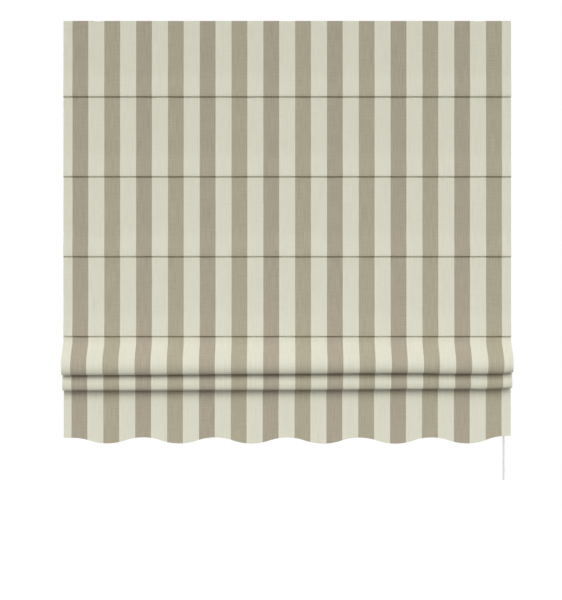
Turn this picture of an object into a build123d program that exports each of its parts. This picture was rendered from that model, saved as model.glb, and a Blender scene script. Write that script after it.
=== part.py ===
import os
from math import asin, cos, degrees, pi, radians, sin, tan

from build123d import *

# Roman blind: a striped cloth hung from a headrail by a tape, with rods in pockets behind its seams.
# X runs along the rail to the right, Y goes back from the cloth, Z is up.
# The pieces are drawn with Y from the middle plane of the cloth. They are saved with Y from the
# screw holes, so that the origin is the middle screw hole in the top face of the middle bracket.

# Cloth
cloth_width = 1400.0
cloth_thickness = 1.2
cloth_top_drop = 3.0
top_panel_height = 238.0
panel_height = 250.0
flat_seams = 4
crease_depth = 0.5
crease_height = 1.8
side_hem_width = 40.0
side_hem_thickness = 0.8
hem_facing_height = 32.0

# Two folds gathered at the foot, measured from the last flat seam
fold_one_forward = 58.0
fold_one_drop = 117.0
fold_two_forward = 30.0
fold_two_drop = 167.0
gathered_rod_drop = 29.0
gathered_mouth_angle = 220.0
bottom_panel_back = 6.0
hem_drop = 315.0

# The turns of each fold, as shares of how far it comes forward and of its height above its lip
fold_one_shape = ((0.06, 0.82), (0.84, 0.42), (1.0, 0.17), (0.84, 0.0), (0.62, 0.0), (0.42, 0.42))
fold_two_shape = ((0.3, 0.5), (1.0, 0.11), (0.8, 0.0), (0.5, 0.0), (0.2, 0.3))
arc_share = 0.45

# Scalloped hem
scallops = 6
scallop_width = 225.6
scallop_depth = 19.0

# Rods, bottom bar and their pockets
rod_radius = 2.0
rod_end_gap = 10.0
pocket_clearance = 0.4
pocket_neck = 1.0
bar_thickness = 4.0
bar_height = 20.0
bar_gap = 16.0

# Lift cords and the clips that guide them
cord_radius = 0.7
cord_count = 4
cord_inset = 95.0
clip_clearance = 0.3
clip_wall = 1.4
clip_width = 8.0
clip_mouth_half_angle = 50.0
clip_sides = 6
eye_bore_radius = 1.2
eye_wall = 1.2
lock_width = 12.0
lock_height = 14.0
lock_thickness = 5.0
lock_bore_radius = 0.85
lock_bore_depth = 9.0

# Round pieces are drawn with this many flats
turned_sides = 12
rod_sides = 12

# Headrail
rail_inset = 5.0
rail_depth = 42.0
rail_height = 36.0
rail_wall = 1.3
rail_lip = 5.0
tape_thickness = 1.0
tape_height = 22.0
tape_drop = 2.0
flange_thickness = 1.2
flange_reach = 3.5
flange_spacing = 22.0

# Ceiling brackets
bracket_thickness = 1.5
bracket_width = 32.0
bracket_gap = 0.3
bracket_inset = 95.0
bracket_count = 3
screw_hole_radius = 2.25

# Cord spools on a six-sided shaft
shaft_flats = 6.0
shaft_end_gap = 3.0
hex_clearance = 0.1
spool_drum_radius = 11.25
spool_drum_length = 34.0
spool_flange_radius = 14.0
spool_flange_thickness = 1.5
journal_radius = 7.0
journal_length = 4.0
journal_clearance = 0.06
cord_gap = 0.05
wound_turns = 7
cradle_wall = 2.5
cradle_floor = 2.0
cradle_side = 2.0
cradle_height = 30.0
cradle_end_gap = 0.4
rail_fit = 0.3
cord_slot_width = 4.0

# Chain wheel, its housing and the chain
bead_radius = 2.25
link_radius = 0.6
bead_pitch = 6.0
wheel_pockets = 12
strand_beads = 234
wheel_width = 8.0
wheel_rim_radius = 14.2
wheel_inset = 15.0
pocket_play = 0.3
groove_half_width = 1.1
housing_wall = 1.5
housing_length = 27.0
chain_door_width = 9.0
chain_door_play = 2.0
cap_thickness = 2.0
cap_plug_depth = 12.0
bush_radius = 6.5
bush_length = 9.0
shaft_bore_radius = 3.6
brake_core_radius = 4.6
brake_core_length = 10.0
brake_spring_clearance = 0.15
brake_spring_wire = 1.0
brake_spring_turns = 6
connector_radius = 3.4
connector_bore_radius = 2.5
connector_length = 14.0
connector_beads = 43
chain_end_gap = 1.0
flatness = 1e-6

# Places worked out from the sizes above
half_cloth = cloth_thickness / 2
cloth_left = -cloth_width / 2
rail_length = cloth_width - 2 * rail_inset
cord_spacing = (rail_length - 2 * cord_inset) / (cord_count - 1)
cord_places = [cord_inset - rail_length / 2 + cord_spacing * i for i in range(cord_count)]
bracket_spacing = (rail_length - 2 * bracket_inset) / (bracket_count - 1)
wheel_place = rail_length / 2 - wheel_inset
rail_top = -(2 * bracket_thickness + 3 * bracket_gap + flange_thickness)
rail_bottom = rail_top - rail_height
rail_front = half_cloth + 2 * tape_thickness
rail_mid = rail_front + rail_depth / 2
shaft_z = rail_top - rail_height / 2
cord_lane = spool_drum_radius + cord_gap + cord_radius
cord_y = rail_mid - cord_lane
pocket_inner = rod_radius + pocket_clearance
pocket_outer = pocket_inner + cloth_thickness
rod_y = half_cloth + pocket_neck + pocket_outer
pocket_back = rod_y + pocket_outer
cloth_top = -cloth_top_drop
tape_bottom = rail_top - tape_drop - tape_height
seam_heights = [cloth_top - top_panel_height - panel_height * i for i in range(flat_seams)]
last_seam = seam_heights[-1]
gathered_rod_z = last_seam - gathered_rod_drop
bar_top = gathered_rod_z - bar_gap - pocket_clearance
bar_mid = bar_top - bar_height / 2
bar_bottom = bar_top - bar_height
hem_z = last_seam - hem_drop
rod_length = cloth_width - 2 * rod_end_gap
pitch_radius = bead_pitch / (2 * sin(pi / wheel_pockets))
chain_foot = shaft_z - strand_beads * bead_pitch
connector_drop = (connector_beads + 0.5) * bead_pitch


def save(shape, name):
    """Write a piece, moved from the cloth's middle plane to the line of the screw holes."""
    placed = Pos(0, -rail_mid, 0) * shape
    placed.label = name
    export_step(placed, f"parts/{name}.step")


def across(section, start, length):
    """Stretch a section drawn in Y and Z along X, from start."""
    return extrude(Plane.YZ.offset(start) * section, amount=length)


def disc(radius):
    """A turned outline that stays inside its radius."""
    return RegularPolygon(radius, turned_sides)


def bore_outline(radius):
    """A turned hole that stays outside its radius."""
    return RegularPolygon(radius, turned_sides, major_radius=False)


def turned(radius, start, length):
    """A round stretch on the shaft's line."""
    return across(Pos(rail_mid, shaft_z) * disc(radius), start, length)


def bored(radius, start, length):
    """A round hole on the shaft's line."""
    return across(Pos(rail_mid, shaft_z) * bore_outline(radius), start, length)


def sleeve(outer, inner, start, length):
    """A tube on the shaft's line."""
    return across(Pos(rail_mid, shaft_z) * (disc(outer) - bore_outline(inner)), start, length)


def soft_radii(points):
    """At each corner of a limp path, the largest arc that its two runs leave room for."""
    radii = []
    for before, corner, after in zip(points, points[1:], points[2:]):
        run_in = Vector(*corner) - Vector(*before)
        run_out = Vector(*after) - Vector(*corner)
        half_turn = radians(run_in.get_angle(run_out)) / 2
        radii.append(arc_share * min(run_in.length, run_out.length) / tan(half_turn))
    return radii


def strip(points):
    """A strip of cloth seen from its end, along straight runs joined by tangent arcs."""
    path = FilletPolyline(*points, radius=soft_radii(points))
    return make_face(path.offset_2d(half_cloth))


# Cloth

def pocket_ring(z):
    """A rod pocket seen from its end."""
    return Pos(rod_y, z) * (RegularPolygon(pocket_outer, rod_sides) - RegularPolygon(pocket_inner, rod_sides))


def upper_section():
    """The flat cloth down to its last flat seam, with a pocket and a crease at each seam."""
    height = cloth_top - last_seam
    section = Pos(0, cloth_top - height / 2) * Rectangle(cloth_thickness, height)
    for z in seam_heights:
        neck_depth = rod_y - pocket_inner - half_cloth / 2
        neck = Pos(neck_depth / 2, z) * Rectangle(neck_depth, 2 * cloth_thickness)
        crease = Pos(-half_cloth, z) * make_face(
            Polyline((0, crease_height / 2), (crease_depth, 0), (0, -crease_height / 2), close=True)
        )
        section = section + neck + pocket_ring(z) - crease
    return section


def fold_points(shape, forward, drop):
    """The corners of a fold whose lip hangs at a drop below the last flat seam."""
    front = half_cloth - forward
    lip = last_seam - drop + half_cloth
    return [(front * share, lip + drop * rise) for share, rise in shape]


def gathered_section():
    """Two folds that hang forward from the last flat seam, and the pockets at their backs."""
    turn = radians(gathered_mouth_angle)
    wall = pocket_inner + half_cloth
    stitch = (rod_y + wall * cos(turn), gathered_rod_z + wall * sin(turn))
    bar_foot = (rod_y - bar_thickness / 2 - pocket_clearance, bar_bottom - pocket_clearance - half_cloth)
    fold_one = strip([
        (0, last_seam),
        *fold_points(fold_one_shape, fold_one_forward, fold_one_drop),
        stitch,
    ])
    fold_two = strip([
        stitch,
        *fold_points(fold_two_shape, fold_two_forward, fold_two_drop),
        bar_foot,
    ])
    return fold_one + fold_two + pocket_ring(gathered_rod_z)


def bar_pocket():
    """The flat pocket round the bottom bar, and the neck that the bottom panel hangs from."""
    inner = Rectangle(bar_thickness + 2 * pocket_clearance, bar_height + 2 * pocket_clearance)
    outer = offset(inner, cloth_thickness, kind=Kind.INTERSECTION)
    return Pos(rod_y, bar_mid) * (outer - inner)


def hem_line():
    """The scalloped lower edge, as arcs that meet half way up each wave, and its two ends."""
    quarter = scallop_width / 4
    half_depth = scallop_depth / 2
    radius = (quarter ** 2 + half_depth ** 2) / (2 * half_depth)
    start = -scallops * scallop_width / 2
    middle = hem_z - half_depth
    turn = degrees(asin(quarter / radius))
    arcs = [CenterArc((start, hem_z - radius), radius, 90 - turn, turn)]
    for i in range(1, 2 * scallops):
        x = start + 2 * quarter * i
        side = 1 if i % 2 == 0 else -1
        arc = ThreePointArc((x - quarter, middle), (x, middle + side * half_depth), (x + quarter, middle))
        arcs.append(arc)
    arcs.append(CenterArc((-start, hem_z - radius), radius, 90, turn))
    return arcs, (start, hem_z), (-start, hem_z)


def bottom_outline(left, right, top):
    """The bottom panel seen from the front, between two heights."""
    arcs, first, last = hem_line()
    edge = Polyline(last, (right, hem_z), (right, top), (left, top), (left, hem_z), first)
    return make_face([*arcs, edge])


def facing_outline():
    """The band turned up behind the scalloped edge."""
    band_top = hem_z + hem_facing_height
    return bottom_outline(cloth_left, -cloth_left, band_top)


def front_plate(outline, back, thickness):
    """A plate drawn from the front, from back towards the viewer."""
    return extrude(Plane.XZ.offset(-back) * outline, amount=thickness)


def make_cloth():
    section = upper_section() + gathered_section() + bar_pocket()
    cloth = across(section, cloth_left, cloth_width)
    panel_top = bar_bottom - pocket_clearance - half_cloth
    back = bottom_panel_back + half_cloth
    panel = bottom_outline(cloth_left, -cloth_left, panel_top)
    cloth += front_plate(panel, back, cloth_thickness)
    cloth += front_plate(facing_outline(), back + side_hem_thickness, side_hem_thickness)
    seams = [tape_bottom] + seam_heights
    for side in (-1, 1):
        x = side * (cloth_width - side_hem_width) / 2
        for upper, lower in zip(seams, seams[1:]):
            height = upper - lower - 2 * cloth_thickness
            y = half_cloth + side_hem_thickness / 2
            cloth += Pos(x, y, (upper + lower) / 2) * Box(side_hem_width, side_hem_thickness, height)
    return cloth


# Rods, bottom bar and clips

def facet_ring(inner_radius):
    """The eight-sided outline of a moulded clip."""
    return RegularPolygon(inner_radius, clip_sides, major_radius=False)


def upright_bore(radius, height):
    """A moulded hole with the clip's number of sides."""
    return extrude(facet_ring(radius), amount=height / 2, both=True)


def make_rod(z):
    return across(Pos(rod_y, z) * RegularPolygon(rod_radius, rod_sides), -rod_length / 2, rod_length)


def make_bottom_bar():
    return across(Pos(rod_y, bar_mid) * Rectangle(bar_thickness, bar_height), -rod_length / 2, rod_length)


def make_clip(x, z, mouth_angle):
    """A spring clip round a rod pocket, with an eye behind it for the lift cord."""
    inner = pocket_outer + clip_clearance
    outer = inner + clip_wall
    ring = facet_ring(outer) - facet_ring(inner)
    reach = 2 * outer
    low = radians(mouth_angle - clip_mouth_half_angle)
    high = radians(mouth_angle + clip_mouth_half_angle)
    mouth = make_face(
        Polyline((0, 0), (reach * cos(low), reach * sin(low)), (reach * cos(high), reach * sin(high)), close=True)
    )
    clip = across(Pos(rod_y, z) * (ring - mouth), x - clip_width / 2, clip_width)
    eye_side = 2 * (eye_bore_radius + eye_wall)
    clip += Pos(x, cord_y, z) * Box(eye_side, eye_side, clip_width)
    return clip - Pos(x, cord_y, z) * upright_bore(eye_bore_radius, clip_width)


def make_clips(z, mouth_angle=180.0):
    return Compound([make_clip(x, z, mouth_angle) for x in cord_places])


def make_lock(x):
    """A block behind the bottom bar that holds the end of a lift cord."""
    front = pocket_back + clip_clearance
    block = Pos(x, front + lock_thickness / 2, bar_mid) * Box(lock_width, lock_thickness, lock_height)
    bore_mid = bar_mid + (lock_height - lock_bore_depth) / 2
    return block - Pos(x, cord_y, bore_mid) * upright_bore(lock_bore_radius, lock_bore_depth)


def make_lift_cord(x):
    """Straight down from the front of its drum to its lock."""
    foot = bar_mid + lock_height / 2 - lock_bore_depth + cord_radius
    length = shaft_z - foot
    section = Plane.XY.offset(foot) * Pos(x, cord_y) * RegularPolygon(cord_radius, clip_sides)
    return extrude(section, amount=length)


# Headrail

def rail_section():
    outer = Pos(rail_mid, rail_top - rail_height / 2) * Rectangle(rail_depth, rail_height)
    inner_depth = rail_depth - 2 * rail_wall
    inner_height = rail_height - 2 * rail_wall
    inner = Pos(rail_mid, rail_top - rail_height / 2) * Rectangle(inner_depth, inner_height)
    mouth_depth = inner_depth - 2 * rail_lip
    mouth = Pos(rail_mid, rail_bottom) * Rectangle(mouth_depth, 4 * rail_wall)
    section = outer - inner - mouth
    web_height = bracket_thickness + 2 * bracket_gap + flange_thickness
    for side in (-1, 1):
        web = Pos(rail_mid + side * flange_spacing / 2, rail_top + web_height / 2)
        section += web * Rectangle(flange_thickness, web_height)
        reach = Pos(
            rail_mid + side * (flange_spacing / 2 + flange_reach / 2),
            rail_top + web_height - flange_thickness / 2,
        )
        section += reach * Rectangle(flange_reach + flange_thickness, flange_thickness)
    return section


def make_bracket(x):
    """A spring steel plate screwed up to the ceiling, hooked under both flanges of the rail."""
    half_grip = flange_spacing / 2 + flange_reach + flange_thickness / 2 + bracket_gap
    hook_top = rail_top + bracket_gap + bracket_thickness
    leg_height = bracket_thickness - rail_top - bracket_gap - bracket_thickness
    section = Pos(rail_mid, -bracket_thickness / 2) * Rectangle(2 * half_grip, bracket_thickness)
    for side in (-1, 1):
        leg_y = rail_mid + side * (half_grip + bracket_thickness / 2)
        section += Pos(leg_y, -leg_height / 2) * Rectangle(bracket_thickness, leg_height)
        hook_y = rail_mid + side * (half_grip - (flange_reach - bracket_gap) / 2)
        hook = Rectangle(flange_reach - bracket_gap, bracket_thickness)
        section += Pos(hook_y, hook_top - bracket_thickness / 2) * hook
    bracket = across(section, x - bracket_width / 2, bracket_width)
    hole = Pos(x, rail_mid) * Circle(screw_hole_radius)
    return bracket - extrude(hole, amount=-2 * bracket_thickness)


def make_tape(back, thickness):
    return Pos(0, back - thickness / 2, tape_bottom + tape_height / 2) * Box(rail_length, thickness, tape_height)


def cap_plate(start):
    """A flat cover over an end of the rail."""
    plate = Pos(rail_mid, shaft_z) * Rectangle(rail_depth, rail_height)
    return across(plate, start, cap_thickness)


def plug_section(wall):
    depth = rail_depth - 2 * rail_wall - 2 * rail_fit
    height = rail_height - 2 * rail_wall - 2 * rail_fit
    hollow = Rectangle(depth - 2 * wall, height - 2 * wall)
    return Pos(rail_mid, shaft_z) * (Rectangle(depth, height) - hollow)


def make_end_cap():
    """The left end: a plate, a hollow plug that fills the rail, and a bush for the shaft."""
    end = -rail_length / 2
    cap = cap_plate(end - cap_thickness)
    cap += across(plug_section(housing_wall), end, cap_plug_depth)
    return cap + turned(bush_radius, end, bush_length) - bored(shaft_bore_radius, end, bush_length)


# Cord drive

def hexagon(flats):
    return Pos(rail_mid, shaft_z) * Rot(0, 0, 30) * RegularPolygon(flats / 2, 6, major_radius=False)


def make_shaft():
    start = -rail_length / 2 + shaft_end_gap
    return across(hexagon(shaft_flats), start, rail_length - 2 * shaft_end_gap)


def make_spool(x):
    """A flanged drum between two journals, bored for the shaft."""
    drum_start = x - spool_drum_length / 2
    spool = turned(spool_drum_radius, drum_start, spool_drum_length)
    for start in (drum_start - spool_flange_thickness, drum_start + spool_drum_length):
        spool += turned(spool_flange_radius, start, spool_flange_thickness)
    journals = spool_drum_length + 2 * spool_flange_thickness + 2 * journal_length
    spool += turned(journal_radius, x - journals / 2, journals)
    return spool - across(hexagon(shaft_flats + 2 * hex_clearance), x - journals / 2, journals)


def make_winding(x):
    """The turns of lift cord already on the drum, side by side, left of the running cord."""
    pitch = 2 * cord_radius + cord_gap
    length = wound_turns * pitch
    inner = spool_drum_radius + cord_gap
    return sleeve(inner + 2 * cord_radius, inner, x - cord_radius - cord_gap - length, length)


def make_cradle(x):
    """A tray that sits on the lips of the rail and carries a spool by its journals."""
    inner_length = spool_drum_length + 2 * spool_flange_thickness + 2 * cradle_end_gap
    length = inner_length + 2 * cradle_wall
    depth = rail_depth - 2 * rail_wall - 2 * rail_fit
    bottom = rail_bottom + rail_wall
    tray = Pos(x, rail_mid, bottom + cradle_height / 2) * Box(length, depth, cradle_height)
    hollow_height = cradle_height - cradle_floor
    hollow = Pos(x, rail_mid, bottom + cradle_floor + hollow_height / 2)
    tray -= hollow * Box(inner_length, depth - 2 * cradle_side, hollow_height)
    tray -= bored(journal_radius + journal_clearance, x - length / 2, length)
    slot_length = spool_drum_length
    tray -= Pos(x, cord_y, bottom) * Box(slot_length, cord_slot_width, 4 * cradle_floor)
    return tray


# Chain drive

def make_wheel():
    """A wheel with a pocket for each bead and a groove for the links between them."""
    start = wheel_place - wheel_width / 2
    wheel = turned(wheel_rim_radius, start, wheel_width)
    groove_floor = pitch_radius - bead_radius
    wheel -= sleeve(2 * wheel_rim_radius, groove_floor, wheel_place - groove_half_width, 2 * groove_half_width)
    pocket_side = 2 * (bead_radius + pocket_play)
    pocket_floor = pitch_radius - bead_radius - pocket_play
    depth = wheel_rim_radius + 1 - pocket_floor
    pocket = Pos(0, pocket_floor + depth / 2, 0) * Box(pocket_side, depth, pocket_side)
    for i in range(wheel_pockets):
        turn = Pos(wheel_place, rail_mid, shaft_z) * Rot(360 * i / wheel_pockets, 0, 0)
        wheel -= turn * pocket
    hub_length = wheel_width + journal_length
    wheel += turned(journal_radius, start - journal_length, hub_length)
    return wheel - across(hexagon(shaft_flats + 2 * hex_clearance), start - journal_length, hub_length)


def make_housing():
    """A box inside the right end of the rail, open below for the two strands of the chain."""
    end = rail_length / 2
    start = end - housing_length
    housing = across(plug_section(housing_wall), start, housing_length)
    inner_wall = make_hull(plug_section(housing_wall).edges())
    housing += across(inner_wall, start, housing_wall)
    housing -= bored(journal_radius + journal_clearance, start, housing_wall)
    door_depth = 2 * (pitch_radius + bead_radius + chain_door_play)
    door = Box(chain_door_width, door_depth, 4 * housing_wall)
    return housing - Pos(wheel_place, rail_mid, rail_bottom + rail_wall) * door


def make_brake_core():
    """The fixed post that the brake spring grips."""
    end = rail_length / 2
    start = end - brake_core_length
    return sleeve(brake_core_radius, shaft_bore_radius, start, brake_core_length)


def make_brake_spring():
    """Closed coils side by side round the post, as one sleeve."""
    inner = brake_core_radius + brake_spring_clearance
    start = rail_length / 2 - brake_core_length + brake_spring_wire
    return sleeve(inner + brake_spring_wire, inner, start, brake_spring_turns * brake_spring_wire)


def chain_frame(distance):
    """The middle line of the chain: down the front strand, round the foot, up behind, over the wheel.

    Gives the place and direction at a distance along the loop, from the front of the wheel.
    """
    strand = strand_beads * bead_pitch
    half_turn = wheel_pockets / 2 * bead_pitch
    if distance <= strand:
        return (-pitch_radius, shaft_z - distance), (0, -1)
    distance -= strand
    if distance <= half_turn:
        angle = pi + pi * distance / half_turn
        place = (pitch_radius * cos(angle), chain_foot + pitch_radius * sin(angle))
        return place, (-sin(angle), cos(angle))
    distance -= half_turn
    if distance <= strand:
        return (pitch_radius, chain_foot + distance), (0, 1)
    distance -= strand
    angle = pi * distance / half_turn
    place = (pitch_radius * cos(angle), shaft_z + pitch_radius * sin(angle))
    return place, (-sin(angle), cos(angle))


def chain_corners(distance, size):
    """The four corners of the chain's outline at a distance along the loop."""
    (y, z), (dy, dz) = chain_frame(distance)
    middle = Vector(wheel_place, rail_mid + y, z)
    side = Vector(size, 0, 0)
    outward = Vector(0, dz * size, -dy * size)
    return [middle + side, middle + outward, middle - side, middle - outward]


def make_chain():
    """Beads side by side on a thin line, as one faceted solid whose two ends meet in a connector."""
    half_turn = wheel_pockets / 2 * bead_pitch
    loop = 2 * strand_beads * bead_pitch + 2 * half_turn
    joint = loop - half_turn - connector_drop
    steps = 2 * round(loop / bead_pitch)
    outlines = []
    for i in range(steps + 1):
        end_gap = chain_end_gap / 2 * ((i == 0) - (i == steps))
        distance = (joint + i * bead_pitch / 2 + end_gap) % loop
        outlines.append(chain_corners(distance, bead_radius if i % 2 else link_radius))
    faces = [flat_face(outlines[0]), flat_face(outlines[-1])]
    for here, there in zip(outlines, outlines[1:]):
        for k in range(4):
            corners = [here[k], here[k - 1], there[k - 1], there[k]]
            across_one, diagonal, across_two = [corner - corners[0] for corner in corners[1:]]
            if abs(across_one.cross(diagonal).dot(across_two)) < flatness:
                faces.append(flat_face(corners))
            else:
                faces.append(flat_face(corners[:3]))
                faces.append(flat_face([corners[0], *corners[2:]]))
    return Solid(Shell(faces))


def flat_face(corners):
    return Face(Wire.make_polygon(corners, close=True))


def make_connector():
    foot = shaft_z - connector_drop - connector_length / 2
    tube = disc(connector_radius) - bore_outline(connector_bore_radius)
    return extrude(Plane.XY.offset(foot) * Pos(wheel_place, rail_mid + pitch_radius) * tube, amount=connector_length)


def main():
    os.makedirs("parts", exist_ok=True)
    save(make_cloth(), "cloth")
    save(make_tape(half_cloth + tape_thickness, tape_thickness), "loop_tape")
    save(make_tape(rail_front, tape_thickness), "hook_tape")
    save(across(rail_section(), -rail_length / 2, rail_length), "headrail")
    save(make_end_cap(), "end_cap")
    middle = (bracket_count - 1) / 2
    brackets = [make_bracket((i - middle) * bracket_spacing) for i in range(bracket_count)]
    save(Compound(brackets), "brackets")
    save(make_shaft(), "shaft")
    save(Compound([make_cradle(x) for x in cord_places]), "cradles")
    save(Compound([make_spool(x) for x in cord_places]), "spools")
    save(Compound([make_winding(x) for x in cord_places]), "cord_turns")
    for i, x in enumerate(cord_places, start=1):
        save(make_lift_cord(x), f"lift_cord_{i}")
    for i, z in enumerate(seam_heights, start=1):
        save(make_rod(z), f"rod_{i}")
        save(make_clips(z), f"rod_clips_{i}")
    gathered = flat_seams + 1
    save(make_rod(gathered_rod_z), f"rod_{gathered}")
    save(make_clips(gathered_rod_z, gathered_mouth_angle), f"rod_clips_{gathered}")
    save(make_bottom_bar(), "bottom_bar")
    save(Compound([make_lock(x) for x in cord_places]), "cord_locks")
    save(make_wheel(), "chain_wheel")
    save(make_housing(), "drive_housing")
    save(cap_plate(rail_length / 2), "drive_cover")
    save(make_brake_core(), "brake_core")
    save(make_brake_spring(), "brake_spring")
    save(make_chain(), "control_chain")
    save(make_connector(), "chain_connector")


if __name__ == "__main__":
    main()
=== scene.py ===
from math import atan2, ceil, cos, hypot, pi, radians, sin, tan, tau

import bpy
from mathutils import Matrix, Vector, noise


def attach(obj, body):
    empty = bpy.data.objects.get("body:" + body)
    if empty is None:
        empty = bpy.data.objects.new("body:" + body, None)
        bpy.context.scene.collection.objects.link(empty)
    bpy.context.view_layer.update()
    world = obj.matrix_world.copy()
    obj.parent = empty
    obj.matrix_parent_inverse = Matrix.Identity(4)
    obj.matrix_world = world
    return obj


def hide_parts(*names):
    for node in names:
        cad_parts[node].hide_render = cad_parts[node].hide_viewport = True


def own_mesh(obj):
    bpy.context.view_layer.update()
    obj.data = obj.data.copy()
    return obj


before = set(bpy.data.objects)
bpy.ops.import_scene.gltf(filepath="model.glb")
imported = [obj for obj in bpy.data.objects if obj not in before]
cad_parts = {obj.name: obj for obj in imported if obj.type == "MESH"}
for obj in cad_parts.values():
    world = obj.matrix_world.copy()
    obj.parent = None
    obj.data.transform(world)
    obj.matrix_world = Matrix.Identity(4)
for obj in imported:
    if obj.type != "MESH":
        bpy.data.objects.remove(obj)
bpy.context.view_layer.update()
print("frame loaded")

# everything below is in metres: X right, Y back, Z up, and the blind's face looks to -Y

cloth = {
    "width": 1.4,
    "thickness": 0.0012,
    "midY": -0.0236,           # the middle of the cloth's thickness
    "top": -0.003,
    "tapeFoot": -0.0291,
    "seams": [-0.241, -0.491, -0.741, -0.991],
    "hemWidth": 0.04,
    "hemThickness": 0.0008,
}
rods = {
    "radius": 0.002,
    "y": -0.0184,
    "halfLength": 0.69,
    "endRadius": 0.0014,
    "endEase": 0.0006,
    "gatheredZ": -1.020,
    "pocketInner": 0.0024,
    "mouth": 220,              # degrees, where the pocket between the two folds opens
}
bar = {
    "y": -0.0184,
    "mid": -1.0464,
    "thickness": 0.004,
    "height": 0.02,
    "play": 0.0004,
    "corner": 0.0009,
    "ease": 0.0005,
}
cords = {
    "places": [-0.6, -0.2, 0.2, 0.6],
    "y": -0.012,
    "radius": 0.0007,
    "top": -0.0231,
    "foot": -1.0477,
    "steps": 180,
}
bodyOfSeam = ["rod_1_body", "rod_2_body", "rod_3_body", "gathered_body"]


# mesh helpers

def newObject(name, verts, faces, material, smooth=True):
    mesh = bpy.data.meshes.new(name)
    mesh.from_pydata([tuple(v) for v in verts], [], faces)
    mesh.validate()
    mesh.update()
    obj = bpy.data.objects.new(name, mesh)
    bpy.context.scene.collection.objects.link(obj)
    mesh.materials.append(material)
    for polygon in mesh.polygons:
        polygon.use_smooth = smooth
    return obj


# parts are (verts, faces) pairs
def joinParts(parts):
    verts, faces = [], []
    for partVerts, partFaces in parts:
        start = len(verts)
        verts.extend(partVerts)
        faces.extend([[i + start for i in face] for face in partFaces])
    return verts, faces


def gridFaces(rows, columns, offset=0, closeRows=False, closeColumns=False):
    faces = []
    for i in range(rows if closeRows else rows - 1):
        for j in range(columns if closeColumns else columns - 1):
            a = offset + i * columns + j
            b = offset + i * columns + (j + 1) % columns
            c = offset + (i + 1) % rows * columns + (j + 1) % columns
            d = offset + (i + 1) % rows * columns + j
            faces.append([a, b, c, d])
    return faces


# a lathe: profile is (along, radius) pairs, closed on itself or ending on the axis
def turnedPart(profile, origin, axis="X", segments=32):
    verts = []
    for along, radius in profile:
        for k in range(segments):
            angle = tau * k / segments
            u, v = radius * cos(angle), radius * sin(angle)
            place = (along, u, v) if axis == "X" else (u, v, along)
            verts.append(tuple(origin[n] + place[n] for n in range(3)))
    return verts, gridFaces(len(profile), segments, closeRows=True, closeColumns=True)


# the closed outline of a bored cylinder with eased edges
def ringProfile(start, length, outer, inner, edge):
    end = start + length
    return [
        (start, inner + edge), (start, outer - edge), (start + edge * 0.3, outer - edge * 0.3),
        (start + edge, outer), (end - edge, outer), (end - edge * 0.3, outer - edge * 0.3),
        (end, outer - edge), (end, inner + edge), (end - edge, inner), (start + edge, inner),
    ]


# an outline of (y, z) points, stretched along X; edge draws the ends in a little
def prism(outline, start, length, edge):
    middle = (sum(p[0] for p in outline) / len(outline), sum(p[1] for p in outline) / len(outline))
    rows = [(start, edge), (start + edge, 0.0), (start + length - edge, 0.0), (start + length, edge)]
    verts = []
    for along, inset in rows:
        for y, z in outline:
            away = (y - middle[0], z - middle[1])
            scale = 1 - inset / hypot(*away)
            verts.append((along, middle[0] + away[0] * scale, middle[1] + away[1] * scale))
    count = len(outline)
    faces = gridFaces(len(rows), count, closeColumns=True)
    faces.append(list(range(count))[::-1])
    faces.append([(len(rows) - 1) * count + k for k in range(count)])
    return verts, faces


# a round tube on a path of points
def tubeAlong(path, radius, sides=10, closed=False):
    points = [Vector(p) for p in path]
    count = len(points)
    verts = []
    side = None
    for i, point in enumerate(points):
        before = points[i - 1] if i or closed else point
        after = points[(i + 1) % count] if i + 1 < count or closed else point
        direction = (after - before).normalized()
        if side is None:
            side = direction.orthogonal().normalized()
        side = (side - direction * side.dot(direction)).normalized()
        other = direction.cross(side)
        for k in range(sides):
            angle = tau * k / sides
            verts.append(tuple(point + (side * cos(angle) + other * sin(angle)) * radius))
    faces = gridFaces(count, sides, closeRows=closed, closeColumns=True)
    if not closed:
        faces.append(list(range(sides))[::-1])
        faces.append([(count - 1) * sides + k for k in range(sides)])
    return verts, faces


# straight runs joined by tangent arcs, as points and the length along the path at each
def filletPath(points, share=0.45, step=0.0012):
    points = [Vector(p) for p in points]
    path = [points[0]]
    for before, corner, after in zip(points, points[1:], points[2:]):
        runIn, runOut = corner - before, after - corner
        turn = runIn.angle(runOut)
        cut = share * min(runIn.length, runOut.length)
        radius = cut / tan(turn / 2)
        start = corner - runIn.normalized() * cut
        normal = Vector((-runIn.y, runIn.x)).normalized()
        if normal.dot(runOut) < 0:
            normal = -normal
        centre = start + normal * radius
        arm = start - centre
        sense = 1 if runIn.x * runOut.y - runIn.y * runOut.x > 0 else -1
        steps = max(3, ceil(radius * turn / step))
        for i in range(steps + 1):
            angle = sense * turn * i / steps
            path.append(centre + Vector((arm.x * cos(angle) - arm.y * sin(angle),
                                         arm.x * sin(angle) + arm.y * cos(angle))))
    path.append(points[-1])
    filled = [path[0]]
    for a, b in zip(path, path[1:]):
        parts = max(1, ceil((b - a).length / (4 * step)))
        filled.extend(a + (b - a) * k / parts for k in range(1, parts + 1))
    lengths = [0.0]
    for a, b in zip(filled, filled[1:]):
        lengths.append(lengths[-1] + (b - a).length)
    return filled, lengths


# shader helpers

def newGroup(name, inputs, outputs):
    group = bpy.data.node_groups.new(name, "ShaderNodeTree")
    for title, kind, value in inputs:
        socket = group.interface.new_socket(name=title, in_out="INPUT", socket_type="NodeSocket" + kind)
        if value is not None:
            socket.default_value = value
    for title, kind in outputs:
        group.interface.new_socket(name=title, in_out="OUTPUT", socket_type="NodeSocket" + kind)
    return group, group.nodes.new("NodeGroupInput"), group.nodes.new("NodeGroupOutput")


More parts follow.
